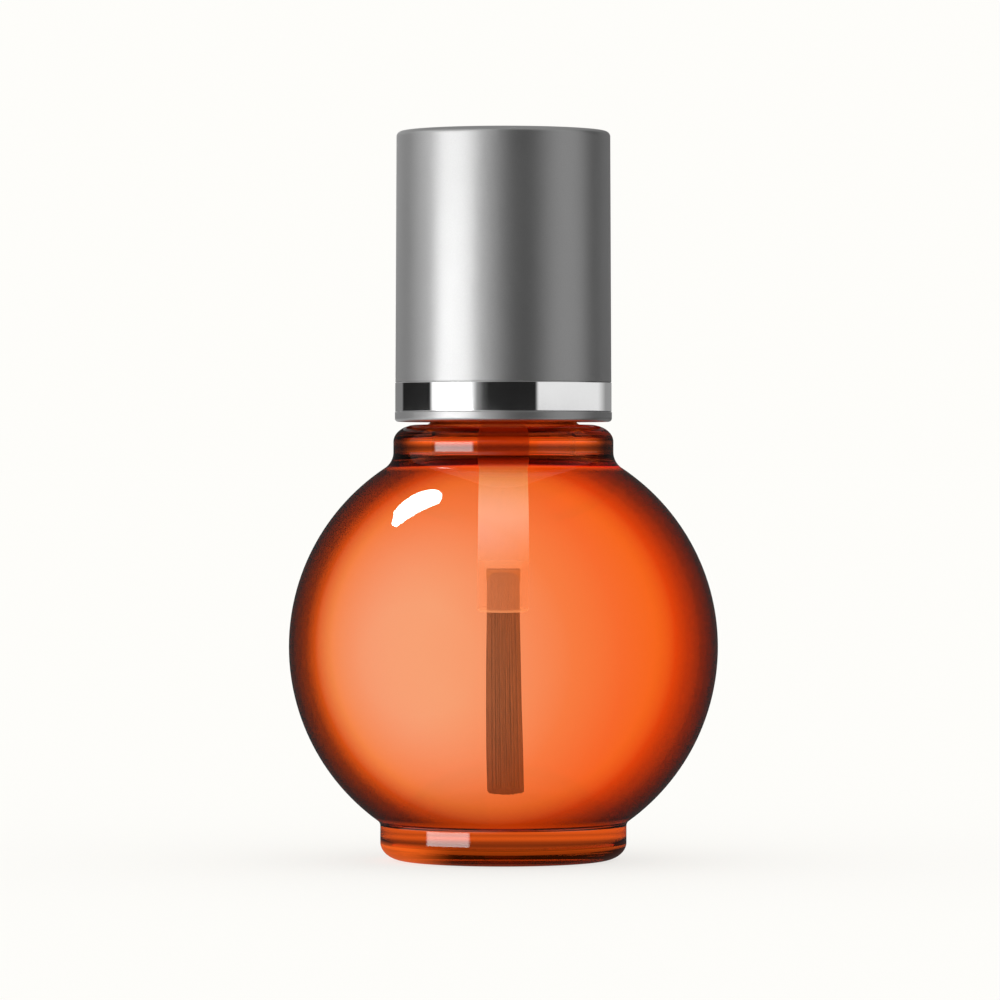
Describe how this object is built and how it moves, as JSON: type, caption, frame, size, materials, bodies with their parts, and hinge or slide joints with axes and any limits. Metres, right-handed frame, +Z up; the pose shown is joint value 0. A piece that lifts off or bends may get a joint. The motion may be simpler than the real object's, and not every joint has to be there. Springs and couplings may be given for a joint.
{
  "type": "cuticle oil bottle",
  "caption": "Ball-shaped glass bottle of orange nail oil with a flat foot, a shoulder collar and a tall satin metal screw cap that carries a stem and a brush.",
  "frame": {"origin": "centre of the ring that the foot rests on", "axes": "+Z up along the axis of the bottle, the neck and the cap"},
  "size_m": [0.034, 0.034, 0.0577],
  "materials": {
    "clear_glass": "clear, fire polished",
    "orange_oil": "clear orange liquid",
    "liner_foam": "closed-cell foam",
    "white_polypropylene": "as moulded",
    "satin_aluminium": "satin anodised",
    "polished_metal": "mirror polished",
    "stem_polyethylene": "translucent, as moulded",
    "staple_brass": "plain wire",
    "brown_nylon": "level filament"
  },
  "bodies": {
    "bottle": {"glass_bottle": "clear_glass", "oil": "orange_oil"},
    "liner": {"seal_liner": "liner_foam"},
    "cap": {"inner_cap": "white_polypropylene", "outer_shell": "satin_aluminium", "trim_band": "polished_metal", "brush_stem": "stem_polyethylene", "bristle_staple": "staple_brass", "bristles": "brown_nylon"}
  },
  "joints": [
    {"name": "cap_rise", "type": "slide", "parent": "bottle", "child": "liner", "axis": [0, 0, 1], "range_m": [0, 0.0424]},
    {"name": "cap_turn", "type": "hinge", "parent": "liner", "child": "cap", "pos_m": [0, 0, 0.0457], "axis": [0, 0, 1], "range_deg": [0, 7200]}
  ],
  "couplings": [
    {"joint": "cap_rise", "follows": "cap_turn", "m_per_rad": 0.00033693}
  ]
}
